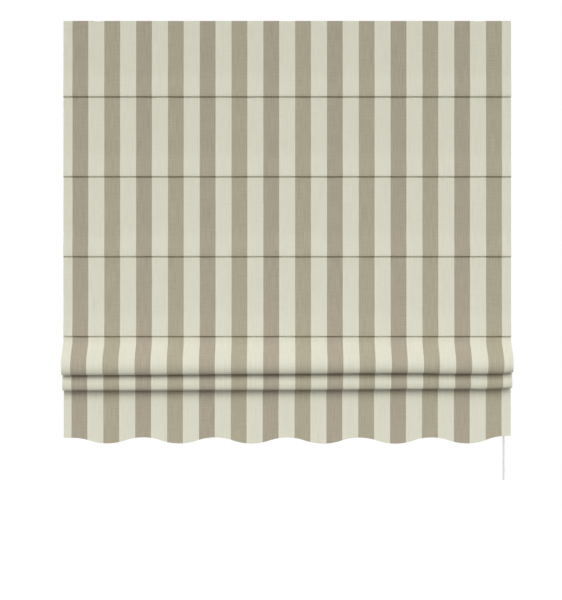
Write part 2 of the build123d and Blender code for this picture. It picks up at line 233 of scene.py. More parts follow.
def mathNode(tree, operation, a, b=None, c=None, clamp=False):
    node = tree.nodes.new("ShaderNodeMath")
    node.operation = operation
    node.use_clamp = clamp
    for socket, value in zip(node.inputs, (a, b, c)):
        if value is None:
            continue
        if isinstance(value, bpy.types.NodeSocket):
            tree.links.new(value, socket)
        else:
            socket.default_value = value
    return node.outputs[0]


def mixColour(tree, factor, a, b, blend="MIX"):
    node = tree.nodes.new("ShaderNodeMix")
    node.data_type = "RGBA"
    node.blend_type = blend
    for socket, value in ((node.inputs[0], factor), (node.inputs[6], a), (node.inputs[7], b)):
        if isinstance(value, bpy.types.NodeSocket):
            tree.links.new(value, socket)
        else:
            socket.default_value = value
    return node.outputs[2]


def ramp(tree, value, low, high, outLow=0.0, outHigh=1.0):
    node = tree.nodes.new("ShaderNodeMapRange")
    node.interpolation_type = "SMOOTHSTEP"
    tree.links.new(value, node.inputs["Value"])
    node.inputs["From Min"].default_value = low
    node.inputs["From Max"].default_value = high
    node.inputs["To Min"].default_value = outLow
    node.inputs["To Max"].default_value = outHigh
    return node.outputs[0]


def stretched(tree, vector, scale):
    node = tree.nodes.new("ShaderNodeVectorMath")
    node.operation = "MULTIPLY"
    tree.links.new(vector, node.inputs[0])
    node.inputs[1].default_value = scale
    return node.outputs[0]


def noiseOn(tree, vector, scale, detail=2.0, roughness=0.5):
    node = tree.nodes.new("ShaderNodeTexNoise")
    node.inputs["Scale"].default_value = scale
    node.inputs["Detail"].default_value = detail
    node.inputs["Roughness"].default_value = roughness
    tree.links.new(vector, node.inputs["Vector"])
    return node.outputs["Fac"]


weave = {
    "uprightShare": 0.62,      # how much of the flecks runs up the cloth; the rest runs across
    "lineSpacing": 0.0061,     # between the thicker warp threads
}


# plain weave with uneven threads: a shade for the colour and a height for the bump
def makeThreadGroup():
    group, entry, leave = newGroup(
        "unevenThreads",
        [("Place", "Vector", None), ("Threads per metre", "Float", 1400.0), ("Uneven", "Float", 0.5)],
        [("Shade", "Float"), ("Height", "Float"), ("Lines", "Float")],
    )
    links = group.links
    split = group.nodes.new("ShaderNodeSeparateXYZ")
    links.new(entry.outputs["Place"], split.inputs[0])
    perMetre = entry.outputs["Threads per metre"]
    warp = mathNode(group, "MULTIPLY", mathNode(group, "MULTIPLY", split.outputs["X"], perMetre), tau)
    weft = mathNode(group, "MULTIPLY", mathNode(group, "MULTIPLY", split.outputs["Y"], perMetre), tau)
    crossing = mathNode(group, "MULTIPLY", mathNode(group, "SINE", warp), mathNode(group, "SINE", weft))
    upright = noiseOn(group, stretched(group, entry.outputs["Place"], (900.0, 14.0, 1.0)), 1.0, 3.0, 0.6)
    level = noiseOn(group, stretched(group, entry.outputs["Place"], (18.0, 1100.0, 1.0)), 1.0, 3.0, 0.6)
    flecks = mathNode(group, "ADD", mathNode(group, "MULTIPLY", upright, weave["uprightShare"]),
                      mathNode(group, "MULTIPLY", level, 1 - weave["uprightShare"]))
    offMiddle = mathNode(group, "SUBTRACT", flecks, 0.5)
    shade = mathNode(group, "MULTIPLY_ADD", offMiddle, entry.outputs["Uneven"], 0.5)
    height = mathNode(group, "MULTIPLY_ADD", crossing, 0.25, mathNode(group, "MULTIPLY", flecks, 0.6))
    links.new(shade, leave.inputs["Shade"])
    links.new(height, leave.inputs["Height"])
    # thicker warp threads that come and go
    between = mathNode(group, "MULTIPLY", split.outputs["X"], tau / weave["lineSpacing"])
    fine = mathNode(group, "SINE", between)
    strong = noiseOn(group, stretched(group, entry.outputs["Place"], (46.0, 5.0, 1.0)), 1.0, 2.0, 0.5)
    links.new(mathNode(group, "MULTIPLY", ramp(group, fine, 0.1, 0.9), ramp(group, strong, 0.42, 0.7)),
              leave.inputs["Lines"])
    return group


# fine grain and slight wear for moulded and coated pieces
def makeGrainGroup():
    group, entry, leave = newGroup(
        "fineGrain",
        [("Place", "Vector", None), ("Scale", "Float", 900.0), ("Strength", "Float", 0.5)],
        [("Shade", "Float"), ("Height", "Float"), ("Roughness", "Float")],
    )
    links = group.links
    scaled = group.nodes.new("ShaderNodeVectorMath")
    scaled.operation = "SCALE"
    links.new(entry.outputs["Place"], scaled.inputs[0])
    links.new(entry.outputs["Scale"], scaled.inputs["Scale"])
    grain = noiseOn(group, scaled.outputs[0], 1.0, 4.0, 0.6)
    broad = noiseOn(group, entry.outputs["Place"], 14.0, 3.0, 0.55)
    links.new(mathNode(group, "MULTIPLY_ADD", mathNode(group, "SUBTRACT", broad, 0.5),
                       entry.outputs["Strength"], 0.5), leave.inputs["Shade"])
    links.new(grain, leave.inputs["Height"])
    links.new(mathNode(group, "MULTIPLY_ADD", mathNode(group, "SUBTRACT", broad, 0.5), 0.18, 0.0),
              leave.inputs["Roughness"])
    return group


threadGroup = makeThreadGroup()
grainGroup = makeGrainGroup()


def placeGroup(tree, group, **values):
    node = tree.nodes.new("ShaderNodeGroup")
    node.node_tree = group
    for title, value in values.items():
        socket = node.inputs[title.replace("_", " ")]
        if isinstance(value, bpy.types.NodeSocket):
            tree.links.new(value, socket)
        else:
            socket.default_value = value
    return node


def newMaterial(name):
    material = bpy.data.materials.new(name)
    material.use_nodes = True
    tree = material.node_tree
    shader = tree.nodes["Principled BSDF"]
    return material, tree, shader


def bumpInto(tree, shader, height, strength, distance):
    bump = tree.nodes.new("ShaderNodeBump")
    bump.inputs["Strength"].default_value = strength
    bump.inputs["Distance"].default_value = distance
    tree.links.new(height, bump.inputs["Height"])
    tree.links.new(bump.outputs[0], shader.inputs["Normal"])


# the place on the cloth as cut, in metres: across in X and down in Y
def planPlace(tree):
    node = tree.nodes.new("ShaderNodeUVMap")
    node.uv_map = "plan"
    return node.outputs[0]


stripes = {
    "repeat": 0.0995,
    "beige": 0.0493,
    "firstEdge": 0.0281,       # cream margin at the left edge
    "cream": (0.80, 0.788, 0.655, 1),
    "creamDeep": (0.70, 0.692, 0.565, 1),
    "tan": (0.51, 0.473, 0.352, 1),
    "tanDeep": (0.38, 0.341, 0.246, 1),
    "rose": (0.968, 0.945, 0.985, 1),      # every other beige stripe is a little redder
    "softEdge": 0.0004,
    "lead": 20.0,              # whole repeats added, so that no fraction is taken of a negative number
}


def makeStripedCloth():
    material, tree, shader = newMaterial("stripedCloth")
    place = planPlace(tree)
    threads = placeGroup(tree, threadGroup, Place=place, Threads_per_metre=1300.0, Uneven=1.0)
    shade = threads.outputs["Shade"]
    split = tree.nodes.new("ShaderNodeSeparateXYZ")
    tree.links.new(place, split.inputs[0])
    start = -cloth["width"] / 2 + stripes["firstEdge"]
    fromEdge = mathNode(tree, "SUBTRACT", split.outputs["X"], start)
    turns = mathNode(tree, "DIVIDE", fromEdge, stripes["repeat"])
    within = mathNode(tree, "FRACT", mathNode(tree, "ADD", turns, stripes["lead"]))
    soft = stripes["softEdge"] / stripes["repeat"]
    share = stripes["beige"] / stripes["repeat"]
    rise = ramp(tree, within, 0.0, soft)
    fall = ramp(tree, within, share, share + soft, 1.0, 0.0)
    beige = mathNode(tree, "MULTIPLY", rise, fall)
    pale = mixColour(tree, ramp(tree, shade, 0.30, 0.62), stripes["creamDeep"], stripes["cream"])
    lines = mathNode(tree, "MULTIPLY", threads.outputs["Lines"], 0.5)
    pale = mixColour(tree, lines, pale, stripes["creamDeep"])
    dark = mixColour(tree, ramp(tree, shade, 0.32, 0.66), stripes["tanDeep"], stripes["tan"])
    pairs = mathNode(tree, "ADD", mathNode(tree, "MULTIPLY", turns, 0.5), stripes["lead"])
    redder = mathNode(tree, "LESS_THAN", mathNode(tree, "FRACT", pairs), 0.5)
    dark = mixColour(tree, redder, dark, mixColour(tree, 1.0, dark, stripes["rose"], "MULTIPLY"))
    tree.links.new(mixColour(tree, beige, pale, dark), shader.inputs["Base Color"])
    shader.inputs["Roughness"].default_value = 0.85
    shader.inputs["Specular IOR Level"].default_value = 0.1
    shader.inputs["Sheen Weight"].default_value = 0.04
    shader.inputs["Sheen Roughness"].default_value = 0.5
    bumpInto(tree, shader, threads.outputs["Height"], 0.35, 0.0003)
    return material


def makeLining():
    material, tree, shader = newMaterial("liningCloth")
    place = planPlace(tree)
    threads = placeGroup(tree, threadGroup, Place=place, Threads_per_metre=1900.0, Uneven=0.5)
    colour = mixColour(tree, ramp(tree, threads.outputs["Shade"], 0.3, 0.7),
                       (0.77, 0.765, 0.725, 1), (0.83, 0.825, 0.79, 1))
    tree.links.new(colour, shader.inputs["Base Color"])
    shader.inputs["Roughness"].default_value = 0.8
    shader.inputs["Specular IOR Level"].default_value = 0.3
    bumpInto(tree, shader, threads.outputs["Height"], 0.2, 0.0002)
    return material


def objectPlace(tree):
    node = tree.nodes.new("ShaderNodeTexCoord")
    return node.outputs["Object"]


# moulded, coated and metal finishes share the grain group
def makeFinish(name, colour, deep, roughness, metallic=0.0, grain=900.0, bump=0.1, distance=0.0001,
               stretch=(1.0, 1.0, 1.0), strength=0.6, coat=0.0, glow=0.0):
    material, tree, shader = newMaterial(name)
    place = stretched(tree, objectPlace(tree), stretch)
    fine = placeGroup(tree, grainGroup, Place=place, Scale=grain, Strength=strength)
    tree.links.new(mixColour(tree, ramp(tree, fine.outputs["Shade"], 0.3, 0.7), deep + (1,), colour + (1,)),
                   shader.inputs["Base Color"])
    uneven = mathNode(tree, "ADD", fine.outputs["Roughness"], roughness, clamp=True)
    tree.links.new(uneven, shader.inputs["Roughness"])
    shader.inputs["Metallic"].default_value = metallic
    shader.inputs["Coat Weight"].default_value = coat
    shader.inputs["Subsurface Weight"].default_value = glow
    shader.inputs["Subsurface Radius"].default_value = (0.004, 0.004, 0.004)
    bumpInto(tree, shader, fine.outputs["Height"], bump, distance)
    return material


stripedCloth = makeStripedCloth()
liningCloth = makeLining()
finishes = {
    "rail": makeFinish("whitePowderCoat", (0.86, 0.86, 0.85), (0.82, 0.82, 0.81), 0.42,
                       grain=1400.0, bump=0.12),
    "bracket": makeFinish("zincPlatedSheet", (0.62, 0.63, 0.65), (0.5, 0.51, 0.53), 0.34, 1.0, 300.0, 0.08,
                          stretch=(0.1, 1.0, 1.0)),
    "cap": makeFinish("whiteMoulding", (0.86, 0.86, 0.845), (0.82, 0.82, 0.805), 0.38,
                      grain=2200.0, bump=0.08),
    "works": makeFinish("drumMoulding", (0.78, 0.78, 0.76), (0.73, 0.73, 0.71), 0.4,
                        grain=1500.0, bump=0.08),
    "shaft": makeFinish("millAluminium", (0.78, 0.78, 0.785), (0.66, 0.66, 0.67), 0.3, 1.0, 700.0, 0.1,
                        stretch=(0.02, 1.0, 1.0)),
    "spring": makeFinish("springWire", (0.5, 0.5, 0.51), (0.38, 0.38, 0.39), 0.28, 1.0, 1200.0, 0.05),
    "rod": makeFinish("glassFibreRod", (0.84, 0.84, 0.8), (0.79, 0.79, 0.75), 0.35,
                      grain=500.0, bump=0.1, stretch=(0.03, 1.0, 1.0)),
    "clip": makeFinish("paleClip", (0.84, 0.85, 0.85), (0.8, 0.81, 0.81), 0.22,
                       grain=900.0, bump=0.03, coat=0.2, glow=0.15),
    "bead": makeFinish("whiteBeads", (0.88, 0.88, 0.87), (0.84, 0.84, 0.83), 0.25,
                       grain=800.0, bump=0.03, coat=0.2),
}


def makeTapeCloth(name, colour, deep, bumpDistance):
    material, tree, shader = newMaterial(name)
    place = objectPlace(tree)
    hooks = tree.nodes.new("ShaderNodeTexVoronoi")
    hooks.inputs["Scale"].default_value = 900.0
    tree.links.new(place, hooks.inputs["Vector"])
    tree.links.new(mixColour(tree, ramp(tree, hooks.outputs["Distance"], 0.1, 0.7), deep, colour),
                   shader.inputs["Base Color"])
    shader.inputs["Roughness"].default_value = 0.8
    shader.inputs["Sheen Weight"].default_value = 0.2
    bumpInto(tree, shader, hooks.outputs["Distance"], 0.6, bumpDistance)
    return material


loopCloth = makeTapeCloth("loopPile", (0.84, 0.84, 0.81, 1), (0.68, 0.68, 0.65, 1), 0.0006)
hookCloth = makeTapeCloth("hookPile", (0.82, 0.82, 0.8, 1), (0.6, 0.6, 0.58, 1), 0.0005)


def makeBraid():
    material, tree, shader = newMaterial("braidedCord")
    place = objectPlace(tree)
    wave = tree.nodes.new("ShaderNodeTexWave")
    wave.bands_direction = "DIAGONAL"
    wave.inputs["Scale"].default_value = 420.0
    wave.inputs["Distortion"].default_value = 1.5
    tree.links.new(place, wave.inputs["Vector"])
    tree.links.new(mixColour(tree, wave.outputs["Fac"], (0.66, 0.655, 0.63, 1), (0.84, 0.835, 0.81, 1)),
                   shader.inputs["Base Color"])
    shader.inputs["Roughness"].default_value = 0.7
    bumpInto(tree, shader, wave.outputs["Fac"], 0.5, 0.0002)
    return material


braidedCord = makeBraid()
thread = makeFinish("sewingThread", (0.8, 0.79, 0.71), (0.7, 0.69, 0.61), 0.6, grain=2500.0, bump=0.1)
print("materials ready")


# cloth

# a closed sheet from rows of (middle point, normal to the front); plan gives the place on the cut cloth
def clothPiece(name, xs, rows, plan, thickness=cloth["thickness"], backMaterial=liningCloth):
    rowCount, columnCount = len(rows), len(xs)
    front, back, places = [], [], []
    for i, row in enumerate(rows):
        for j, (point, normal) in enumerate(row):
            front.append(point + normal * thickness / 2)
            back.append(point - normal * thickness / 2)
            places.append(plan[i][j])
    verts = front + back
    total = rowCount * columnCount
    faces = []
    for i in range(rowCount - 1):
        for j in range(columnCount - 1):
            a, b = i * columnCount + j, i * columnCount + j + 1
            c, d = a + columnCount + 1, a + columnCount
            faces.append([a, d, c, b])
            faces.append([total + a, total + b, total + c, total + d])
    rim = list(range(columnCount))
    rim += [i * columnCount + columnCount - 1 for i in range(1, rowCount)]
    rim += [(rowCount - 1) * columnCount + j for j in range(columnCount - 2, -1, -1)]
    rim += [i * columnCount for i in range(rowCount - 2, 0, -1)]
    for k, a in enumerate(rim):
        b = rim[(k + 1) % len(rim)]
        faces.append([a, b, total + b, total + a])
    obj = newObject(name, verts, faces, stripedCloth)
    obj.data.materials.append(backMaterial)
    uv = obj.data.uv_layers.new(name="plan")
    both = places + places
    for polygon in obj.data.polygons:
        vertexNumbers = list(polygon.vertices)
        if all(v >= total for v in vertexNumbers):
            polygon.material_index = 1
        for loopIndex in polygon.loop_indices:
            uv.data[loopIndex].uv = both[obj.data.loops[loopIndex].vertex_index]
    obj.data.set_sharp_from_angle(angle=radians(60))
    return obj


def spread(low, high, count):
    return [low + (high - low) * k / (count - 1) for k in range(count)]


# gives each corner its place on the cloth as cut
def layPlan(obj, placeOf):
    uv = obj.data.uv_layers.new(name="plan")
    for loop, item in zip(obj.data.loops, uv.data):
        item.uv = placeOf(obj.data.vertices[loop.vertex_index].co)


panels = {
    "columns": 141,
    "rowStep": 0.006,
    "travel": (0.19, 0.20, 0.20, 0.20),        # how much each panel gives up when the blind is raised
    "broadRipple": 0.0007,
    "smallRipple": 0.00025,
    "calm": 0.03,              # no ripple at a seam, all of it this far away
    "hemStop": 0.004,          # the side hems end this far from a seam
    "seed": 2.0,
}


# the slight unevenness of hung cloth, in metres
def ripple(x, z, seed):
    broad = noise.noise(Vector((x * 2.2, z * 3.0, seed)))
    small = noise.noise(Vector((x * 9.0, z * 6.0, seed + 7.0)))
    return panels["broadRipple"] * broad + panels["smallRipple"] * small


tuck = {
    "radius": 0.0014,
    "lowerRadius": 0.0022,
    "depth": 0.0026,           # how far the ends go back into the seam
    "gap": (0.0012, 0.0014, 0.0016, 0.0020),   # opening of each seam, from the top one down
    # the cloth swells forward towards each seam, more above it than below
    "swellAbove": 0.0058,
    "swellBelow": 0.0002,
    "swellHeight": 0.08,
    "curveSteps": 7,
    "keep": 0.05,              # what is left of a half panel's height across its fold when the blind is up
}


def swellShare(distance):
    share = max(0.0, 1.0 - abs(distance) / tuck["swellHeight"])
    return share * share * (3 - 2 * share)


# how far the cloth stands forward at a height
def swellAt(z, top, bottom, gapAbove, gapBelow):
    above = swellShare(z - top) * tuck["swellBelow"] if gapAbove else 0.0
    below = swellShare(z - bottom) * tuck["swellAbove"] if gapBelow else 0.0
    return above + below


# part of a flat panel; an end at a seam turns back into the tuck
def flatHalf(name, top, bottom, gapAbove, gapBelow, planTop, seed):
    xs = spread(-cloth["width"] / 2, cloth["width"] / 2, panels["columns"])
    half, curl = cloth["thickness"] / 2, tuck["curveSteps"]
    profile = []               # (depth behind the cloth, z)
    start, end = top, bottom
    if gapAbove:
        radius, start = tuck["lowerRadius"], top - half - gapAbove / 2
        profile += [(tuck["depth"], top + half + gapAbove / 2), (tuck["depth"], start)]
        for k in range(curl + 1):
            angle = pi / 2 * k / curl
            profile.append((radius * (1 - sin(angle)), start - radius * (1 - cos(angle))))
        start = profile[-1][1]
    else:
        profile.append((0.0, top))
    if gapBelow:
        radius = tuck["radius"]
        end = bottom + half + gapBelow / 2 + radius
    steps = max(2, ceil((start - end) / panels["rowStep"]))
    profile += [(0.0, start + (end - start) * k / steps) for k in range(1, steps + 1)]
    if gapBelow:
        for k in range(1, curl + 1):
            angle = pi / 2 * k / curl
            profile.append((radius * (1 - cos(angle)), end - radius * sin(angle)))
        profile.append((tuck["depth"] - half, end - radius))
    swelled = []
    for depth, z in profile:
        front = 1.0 - depth / tuck["depth"]
        swelled.append((depth - swellAt(z, top, bottom, gapAbove, gapBelow) * front, z))
    profile = swelled
    rows, plan, along = [], [], 0.0
    for i, (depth, z) in enumerate(profile):
        if i:
            along += hypot(depth - profile[i - 1][0], z - profile[i - 1][1])
        before, after = profile[max(i - 1, 0)], profile[min(i + 1, len(profile) - 1)]
        dy, dz = after[0] - before[0], after[1] - before[1]
        size = hypot(dy, dz)
        normal = Vector((0, dz / size, -dy / size))
        row = []
        for x in xs:
            nearSeam = min(abs(z - s) for s in [cloth["top"]] + cloth["seams"])
            ease = min(1.0, nearSeam / panels["calm"])
            row.append((Vector((x, cloth["midY"] + depth + ripple(x, z, seed) * ease, z)), normal))
        rows.append(row)
        plan.append([(x, planTop + along) for x in xs])
    return clothPiece(name, xs, rows, plan)


# the striped cloth turned over the lining at an edge
def sideHem(name, top, bottom, side, y):
    width, thickness = cloth["hemWidth"], cloth["hemThickness"]
    outer = side * (cloth["width"] / 2 - 0.0002)
    inner = side * (cloth["width"] / 2 - width)
    outline = []
    steps = 5
    for k in range(steps + 1):
        angle = pi / 2 * k / steps
        outline.append((outer - side * thickness * (1 - sin(angle)), y + thickness * cos(angle)))
    count = max(3, ceil((top - bottom) / 0.01))
    xs = [inner, inner, inner + side * 0.0006] + [p[0] for p in outline] + [outer]
    ys = [y, y + thickness * 0.5, y + thickness] + [p[1] for p in outline] + [y]
    verts = []
    for i in range(count + 1):
        z = top + (bottom - top) * i / count
        for a, b in zip(xs, ys):
            verts.append((a, b, z))
    faces = gridFaces(count + 1, len(xs), closeColumns=True)
    faces.append(list(range(len(xs)))[::-1])
    faces.append([count * len(xs) + k for k in range(len(xs))])
    obj = newObject(name, verts, faces, stripedCloth, smooth=False)
    edge = side * cloth["width"] / 2
    layPlan(obj, lambda place: (edge + (edge - place.x), -place.z))
    return obj


stitches = {"length": 0.0026, "pitch": 0.0036, "radius": 0.00022, "sides": 6, "inset": 0.003}


# small rounded stitches from one point to another, raised along out
def stitchRow(name, start, end, out):
    start, end, out = Vector(start), Vector(end), Vector(out)
    run = (end - start).normalized()
    count = int((end - start).length / stitches["pitch"])
    parts = []
    for k in range(count):
        first = start + run * stitches["pitch"] * (k + 0.15)
        path = []
        for share, rise in ((0.0, -0.6), (0.2, 0.3), (0.5, 0.7), (0.8, 0.3), (1.0, -0.6)):
            path.append(first + run * stitches["length"] * share + out * stitches["radius"] * rise)
        parts.append(tubeAlong(path, stitches["radius"], stitches["sides"]))
    obj = newObject(name, *joinParts(parts), thread)
    obj.data.uv_layers.new(name="plan")
    return obj


# the two side hems with their stitches, on a cloth whose back is at clothBack
def edgeHems(top, bottom, clothBack):
    back = clothBack + cloth["hemThickness"]
    x = cloth["width"] / 2 - cloth["hemWidth"] + stitches["inset"]
    hems = [sideHem("sideHem", top, bottom, side, clothBack) for side in (-1, 1)]
    sewn = [stitchRow("hemStitches", (side * x, back, top), (side * x, back, bottom), (0, 1, 0))
            for side in (-1, 1)]
    return hems + sewn


def joinObjects(objects, name):
    bpy.ops.object.select_all(action="DESELECT")
    for obj in objects:
        obj.select_set(True)
    bpy.context.view_layer.objects.active = objects[0]
    bpy.ops.object.join()
    objects[0].name = name
    objects[0].data.name = name
    return objects[0]


def declareCloth():
    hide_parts("cloth")


seamBodies = ["root"] + bodyOfSeam
tops = [cloth["tapeFoot"]] + cloth["seams"]
header = flatHalf("clothHeader", cloth["top"], cloth["tapeFoot"], 0.0, 0.0, 0.0, 1.0)
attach(header, "root")
declareCloth()

for number, travel in enumerate(panels["travel"]):
    top, bottom = tops[number], tops[number + 1]
    middle = (top + bottom) / 2
    # each panel hangs as two halves: the upper on the body of the seam or rail above, the lower on the body
    # of the seam below
    halves = (
        ("Upper", top, middle, seamBodies[number], top, -1),
        ("Lower", middle, bottom, seamBodies[number + 1], bottom, 1),
    )
    for word, high, low, body, anchor, sign in halves:
        underSeam = word == "Upper" and number > 0
        overSeam = word == "Lower"
        gapAbove = tuck["gap"][number - 1] if underSeam else 0.0
        gapBelow = tuck["gap"][number] if overSeam else 0.0
        name = f"panel{number + 1}{word}"
        piece = flatHalf(name, high, low, gapAbove, gapBelow, -high, panels["seed"])
        hemTop = high - (panels["hemStop"] if underSeam else 0.0)
        hemBottom = low + (panels["hemStop"] if overSeam else 0.0)
        edging = edgeHems(hemTop, hemBottom, cloth["midY"] + cloth["thickness"] / 2)
        for trim in edging:
            for vertex in trim.data.vertices:
                vertex.co.y -= swellAt(vertex.co.z, high, low, gapAbove, gapBelow)
        piece = joinObjects([piece] + edging, name)
        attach(piece, body)
        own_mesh(piece)
        declareCloth()
print("flat panels hung")

folds = {
    # turns of each fold, as shares of its reach and of its height above its lip
    "shapeOne": (
        (0.06, 0.82), (0.84, 0.46), (0.99, 0.27), (0.99, 0.14), (0.9, 0.04), (0.74, -0.005), (0.6, 0.0),
        (0.42, 0.42),
    ),
    "shapeTwo": ((0.3, 0.5), (0.97, 0.16), (1.0, 0.09), (0.9, 0.025), (0.72, 0.0), (0.5, 0.0), (0.2, 0.3)),
    "forward": (0.058, 0.030),
    "drop": (0.117, 0.167),
    "columns": 161,
    # how far the lips leave the level, from the left end to the right
    "lipOne": (
        (-0.7, -0.0015), (-0.57, -0.0008), (-0.07, 0.0028), (0.35, 0.0045), (0.55, 0.0035), (0.66, 0.004),
        (0.7, 0.0083),
    ),
    "lipTwo": ((-0.7, 0.0), (-0.57, 0.0005), (-0.07, 0.0014), (0.525, 0.0045), (0.64, 0.005), (0.7, 0.0085)),
    "sway": (0.0015, 0.001),
    "seed": (11.0, 17.0),
    "planTop": 1.0,            # where both start on the cloth as cut
}


def foldPoints(number):
    halfCloth = cloth["thickness"] / 2
    front = halfCloth - folds["forward"][number]
    lip = cloth["seams"][-1] - folds["drop"][number] + halfCloth
    shape = folds["shapeTwo"] if number else folds["shapeOne"]
    return [(cloth["midY"] + front * share, lip + folds["drop"][number] * rise) for share, rise in shape]


# eases between (x, value) pairs
def smoothCurve(x, places):
    if x <= places[0][0]:
        return places[0][1]
    for (x0, v0), (x1, v1) in zip(places, places[1:]):
        if x <= x1:
            share = (x - x0) / (x1 - x0)
            return v0 + (v1 - v0) * share * share * (3 - 2 * share)
    return places[-1][1]


def foldPiece(name, points, number, lipLine):
    seed, sway = folds["seed"][number], folds["sway"][number]
    path, lengths = filletPath(points)
    low = min(p.y for p in path)
    tops = (path[0].y, path[-1].y)
    total = lengths[-1]
    xs = spread(-cloth["width"] / 2, cloth["width"] / 2, folds["columns"])
    rows, plan = [], []
    for i, point in enumerate(path):
        before, after = path[max(i - 1, 0)], path[min(i + 1, len(path) - 1)]
        direction = (after - before).normalized()
        normal = Vector((0, direction.y, -direction.x))
        share = lengths[i] / total
        free = sin(pi * share) ** 1.2
        row = []
        for x in xs:
            slow = noise.noise(Vector((x * 1.7, seed, share * 1.3)))
            quick = noise.noise(Vector((x * 6.5, seed + 3.0, share * 2.0)))
            shift = (slow * sway + quick * sway * 0.3) * free
            nearTop = tops[share > 0.6]
            hang = (nearTop - point.y) / (nearTop - low)
            drop = Vector((0, 0, smoothCurve(x, lipLine) * max(0.0, hang) ** 2))
            row.append((Vector((x, point.x, point.y)) + normal * shift + drop, normal))
        rows.append(row)
        plan.append([(x, folds["planTop"] + lengths[i]) for x in xs])
    piece = clothPiece(name, xs, rows, plan)
    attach(piece, "gathered_body")
    declareCloth()


wall = rods["pocketInner"] + cloth["thickness"] / 2
mouth = radians(rods["mouth"])
stitch = (rods["y"] + wall * cos(mouth), rods["gatheredZ"] + wall * sin(mouth))
barFoot = (bar["y"] - bar["thickness"] / 2 - bar["play"],
           bar["mid"] - bar["height"] / 2 - bar["play"] - cloth["thickness"] / 2)
seamY, seamZ = cloth["midY"], cloth["seams"][-1]
lowSide = seamZ - cloth["thickness"] / 2 - tuck["gap"][-1] / 2
outOfSeam = [(seamY + tuck["depth"], 2 * seamZ - lowSide), (seamY + tuck["depth"], lowSide),
             (seamY - tuck["swellBelow"], lowSide)]
foldPiece("foldOne", [*outOfSeam, *foldPoints(0), stitch], 0, folds["lipOne"])
foldPiece("foldTwo", [stitch, *foldPoints(1), barFoot], 1, folds["lipTwo"])
print("folds gathered")

hem = {
    "scallops": 6,
    "width": 0.2256,
    "depth": 0.019,
    "high": -1.306,
    "facing": 0.032,
    "facingThickness": 0.0008,
    "facingGap": 0.0004,
    "panelY": -0.0176,
    "lap": 0.0006,             # how far the panel goes up into the bar's pocket
    "perScallop": 40,
    "rows": 40,
    "facingRows": 8,
    "sway": 0.0012,
    "planTop": 0.3,            # where the panel starts on the cloth as cut
    "skew": 0.004,             # the stripes of the bottom panel stand this far off at its left edge
    "endLift": ((-0.7, -0.002), (-0.6, 0.0), (0.3, -0.001), (0.6, 0.0), (0.7, 0.005)),
}


# arcs that meet half way up each wave, nearly level beyond the last ones
def hemHeight(x):
    quarter, halfDepth = hem["width"] / 4, hem["depth"] / 2
    radius = (quarter ** 2 + halfDepth ** 2) / (2 * halfDepth)
    edge = hem["scallops"] * hem["width"] / 2
    if abs(x) >= edge:
        return hem["high"] + smoothCurve(x, hem["endLift"])
    place = (x + edge) / hem["width"] % 1.0
    lift = smoothCurve(x, hem["endLift"])
    if place < 0.25 or place > 0.75:
        away = min(place, 1 - place) * hem["width"]
        return hem["high"] - radius + (radius ** 2 - away ** 2) ** 0.5 + lift
    away = abs(place - 0.5) * hem["width"]
    return hem["high"] - hem["depth"] + radius - (radius ** 2 - away ** 2) ** 0.5 + lift


def hemColumns():
    edge = hem["scallops"] * hem["width"] / 2
    inner = spread(-edge, edge, hem["scallops"] * hem["perScallop"] + 1)
    ends = spread(edge, cloth["width"] / 2, 5)[1:]
    return [-x for x in reversed(ends)] + inner + ends


# a sheet whose lower edge is the scalloped hem
def hangSheet(name, top, y, thickness, rowCount, backMaterial, sway):
    xs = hemColumns()
    rows, plan = [], []
    for i in range(rowCount):
        share = i / (rowCount - 1)
        row, places = [], []
        for x in xs:
            low = hemHeight(x)
            ease = 1 - (1 - share) ** 2
            # the upper rows are level and the lower ones follow the hem
            level = top + (hem["high"] - hem["depth"] / 2 - top) * share
            waved = top + (low - top) * share
            z = waved if share > 0.5 else level + (waved - level) * share * 2
            shift = noise.noise(Vector((x * 2.4, z * 3.0, 23.0))) * sway * ease
            row.append((Vector((x, y + shift, z)), Vector((0, -1, 0))))
            places.append((x + hem["skew"] * (0.5 - x / cloth["width"]), hem["planTop"] - z))
        rows.append(row)
        plan.append(places)
    return clothPiece(name, xs, rows, plan, thickness, backMaterial)


panelBack = hem["panelY"] + cloth["thickness"] / 2
facingTop = hem["high"] + hem["facing"]
bottomPanel = hangSheet("bottomPanel", barFoot[1] + hem["lap"], hem["panelY"], cloth["thickness"],
                        hem["rows"], liningCloth, hem["sway"])
edging = edgeHems(barFoot[1] - panels["hemStop"], facingTop, panelBack)
stitchEnd = cloth["width"] / 2 - stitches["inset"]
stitchY, stitchZ = panelBack + cloth["hemThickness"], facingTop - stitches["inset"]
left, right = (-stitchEnd, stitchY, stitchZ), (stitchEnd, stitchY, stitchZ)
edging.append(stitchRow("facingStitches", left, right, (0, 1, 0)))
bottomPanel = joinObjects([bottomPanel] + edging, "bottomPanel")
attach(bottomPanel, "gathered_body")
declareCloth()

facing = hangSheet("hemFacing", facingTop, panelBack + hem["facingGap"], hem["facingThickness"],
                   hem["facingRows"], stripedCloth, 0.0)
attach(facing, "gathered_body")
declareCloth()
print("scalloped panel hung")


# pockets behind the seams

pocket = {
    "sides": 20,
    "columns": 71,
    "barColumns": 57,
    "wobble": 0.00015,
    "pressed": 0.0004,         # a seam presses its pocket flat this far in front of the tuck's ends
    "barOuter": 0.0022,        # corner radii of the bar's pocket
    "barInner": 0.0008,
}


# the faces of a tube with a wall: its outer rings come first, then its inner ones
def walledTube(columns, sides):
    count = columns * sides
    faces = []
    for j in range(columns - 1):
        for k in range(sides):
            a, b = j * sides + k, j * sides + (k + 1) % sides
            faces.append([a, b, b + sides, a + sides])
            faces.append([count + a, count + a + sides, count + b + sides, count + b])
    for j, flip in ((0, False), (columns - 1, True)):
        for k in range(sides):
            a, b = j * sides + k, j * sides + (k + 1) % sides
            face = [a, count + a, count + b, b]
            faces.append(face[::-1] if flip else face)
    return faces


